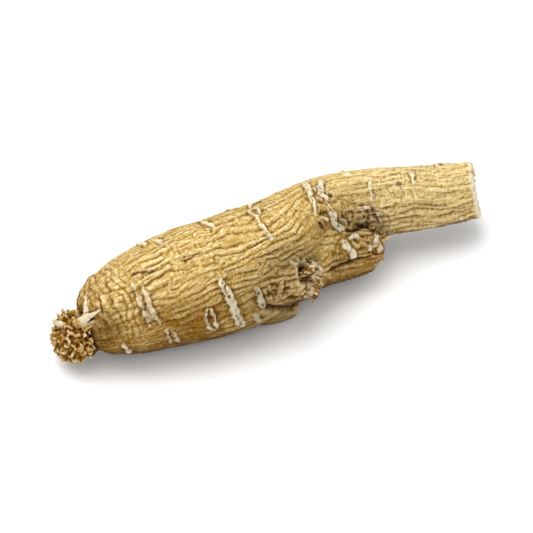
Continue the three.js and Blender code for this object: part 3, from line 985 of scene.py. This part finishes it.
def driedRootSkin():
    # Dried root bark, washed and sun dried: straw yellow on the ridges, brown in the furrows, partly soil
    # and partly painted shade, pale where rootlets broke away, with a dull and slightly satin face. Painted
    # shade darkens the lower side, cracks and pits.
    material = bpy.data.materials.new("driedRootSkin")
    material.use_nodes = True
    tree = material.node_tree
    tree.nodes.clear()
    grain = addNode(tree, "ShaderNodeAttribute", {"attribute_name": "grain"}, {}).outputs["Vector"]
    sources = {}
    for name in maskNames:
        sources[name] = addNode(tree, "ShaderNodeAttribute", {"attribute_name": name}, {}).outputs["Fac"]
    for name, (run, across, detail, low, high) in driedRoot["patterns"].items():
        stretched = addNode(tree, "ShaderNodeMapping", {},
                            {"Vector": grain, "Scale": (1 / run, 1 / across, 1 / across)})
        speckle = addNode(tree, "ShaderNodeTexNoise", {},
                          {"Vector": stretched.outputs["Vector"], "Scale": 1.0, "Detail": detail,
                           "Roughness": 0.6})
        spread = addNode(tree, "ShaderNodeMapRange", {"interpolation_type": "SMOOTHSTEP"},
                         {"Value": speckle.outputs["Fac"], "From Min": low, "From Max": high})
        sources[name] = spread.outputs["Result"]

    colour = linear(driedRoot["skin"])
    for name, strength, over in driedRoot["layers"]:
        amount = addNode(tree, "ShaderNodeMath", {"operation": "MULTIPLY"}, {0: sources[name], 1: strength})
        mixed = addNode(tree, "ShaderNodeMix", {"data_type": "RGBA"},
                        {0: amount.outputs[0], 6: colour, 7: linear(over)})
        colour = mixed.outputs[2]
    height = 0.0
    for name, strength in driedRoot["reliefs"]:
        stacked = addNode(tree, "ShaderNodeMath", {"operation": "MULTIPLY_ADD"},
                          {0: sources[name], 1: strength, 2: height})
        height = stacked.outputs[0]
    bump = addNode(tree, "ShaderNodeBump", {},
                   {"Strength": 1.0, "Distance": driedRoot["reliefHeight"] * mm, "Height": height})
    shader = addNode(tree, "ShaderNodeBsdfPrincipled", {},
                     {"Base Color": colour, "Roughness": driedRoot["roughness"], "IOR": driedRoot["ior"],
                      "Specular IOR Level": driedRoot["specular"], "Normal": bump.outputs["Normal"]})
    addNode(tree, "ShaderNodeOutputMaterial", {}, {"Surface": shader.outputs["BSDF"]})
    return material


studio = {
    "floorSide": 4000,
    "floorColour": "#F0F0F0",
    "azimuth": -25.3,
    "elevation": 42.0,
    "lens": 500,  # long, for little perspective
    "frameWidth": 75,  # how much of the scene the frame is wide, at the root
    "lookAt": (0.0, -0.3, 6.2),
    "keyPlace": (-0.10, 0.14, 0.48),  # the lamps' places and sizes are in metres
    "keySize": 0.55,
    "keyPower": 2.7,
    "fillPlace": (-0.20, -0.45, 0.30),
    "fillSize": 0.6,
    "fillPower": 1.1,
    "roomLight": 0.78,
}


def whitePaper():
    # Matte white paper sweep: even, bright and without gloss
    material = bpy.data.materials.new("whitePaper")
    material.use_nodes = True
    shader = material.node_tree.nodes["Principled BSDF"]
    shader.inputs["Base Color"].default_value = linear(studio["floorColour"])
    shader.inputs["Roughness"].default_value = 0.9
    shader.inputs["Specular IOR Level"].default_value = 0.1
    return material


def makeStudio():
    half = studio["floorSide"] / 2 * mm
    floor = newPiece("floor", [(-half, -half, 0), (half, -half, 0), (half, half, 0), (-half, half, 0)],
                     [(0, 1, 2, 3)])
    floor.data.materials.append(whitePaper())

    turn = math.radians(studio["azimuth"])
    tilt = math.radians(studio["elevation"])
    toCamera = Vector((math.sin(turn) * math.cos(tilt), -math.cos(turn) * math.cos(tilt), math.sin(tilt)))
    camera = bpy.data.objects.new("camera", bpy.data.cameras.new("camera"))
    camera.data.lens = studio["lens"]
    camera.data.clip_start = 0.01
    camera.data.clip_end = 20
    distance = studio["frameWidth"] * studio["lens"] / camera.data.sensor_width * mm
    camera.location = Vector(studio["lookAt"]) * mm + toCamera * distance
    camera.rotation_euler = (-toCamera).to_track_quat("-Z", "Y").to_euler()
    bpy.context.scene.collection.objects.link(camera)
    bpy.context.scene.camera = camera

    for name in ("key", "fill"):
        light = bpy.data.lights.new(name + "Lamp", "AREA")
        light.shape = "SQUARE"
        light.size = studio[name + "Size"]
        light.energy = studio[name + "Power"]
        lamp = bpy.data.objects.new(name + "Lamp", light)
        lamp.location = studio[name + "Place"]
        lamp.rotation_euler = (-lamp.location).to_track_quat("-Z", "Y").to_euler()
        bpy.context.scene.collection.objects.link(lamp)

    world = bpy.data.worlds.new("whiteRoom")
    world.use_nodes = True
    world.node_tree.nodes["Background"].inputs["Color"].default_value = (1, 1, 1, 1)
    world.node_tree.nodes["Background"].inputs["Strength"].default_value = studio["roomLight"]
    bpy.context.scene.world = world
    bpy.context.scene.view_settings.view_transform = "Standard"


makeStudio()
print("studio ready")
rootMaterial = driedRootSkin()
makeSkin(rootMaterial)
print("skin ready")
makeCrown(rootMaterial)
print("crown ready")
makeTornBark(rootMaterial)
print("torn ends ready")
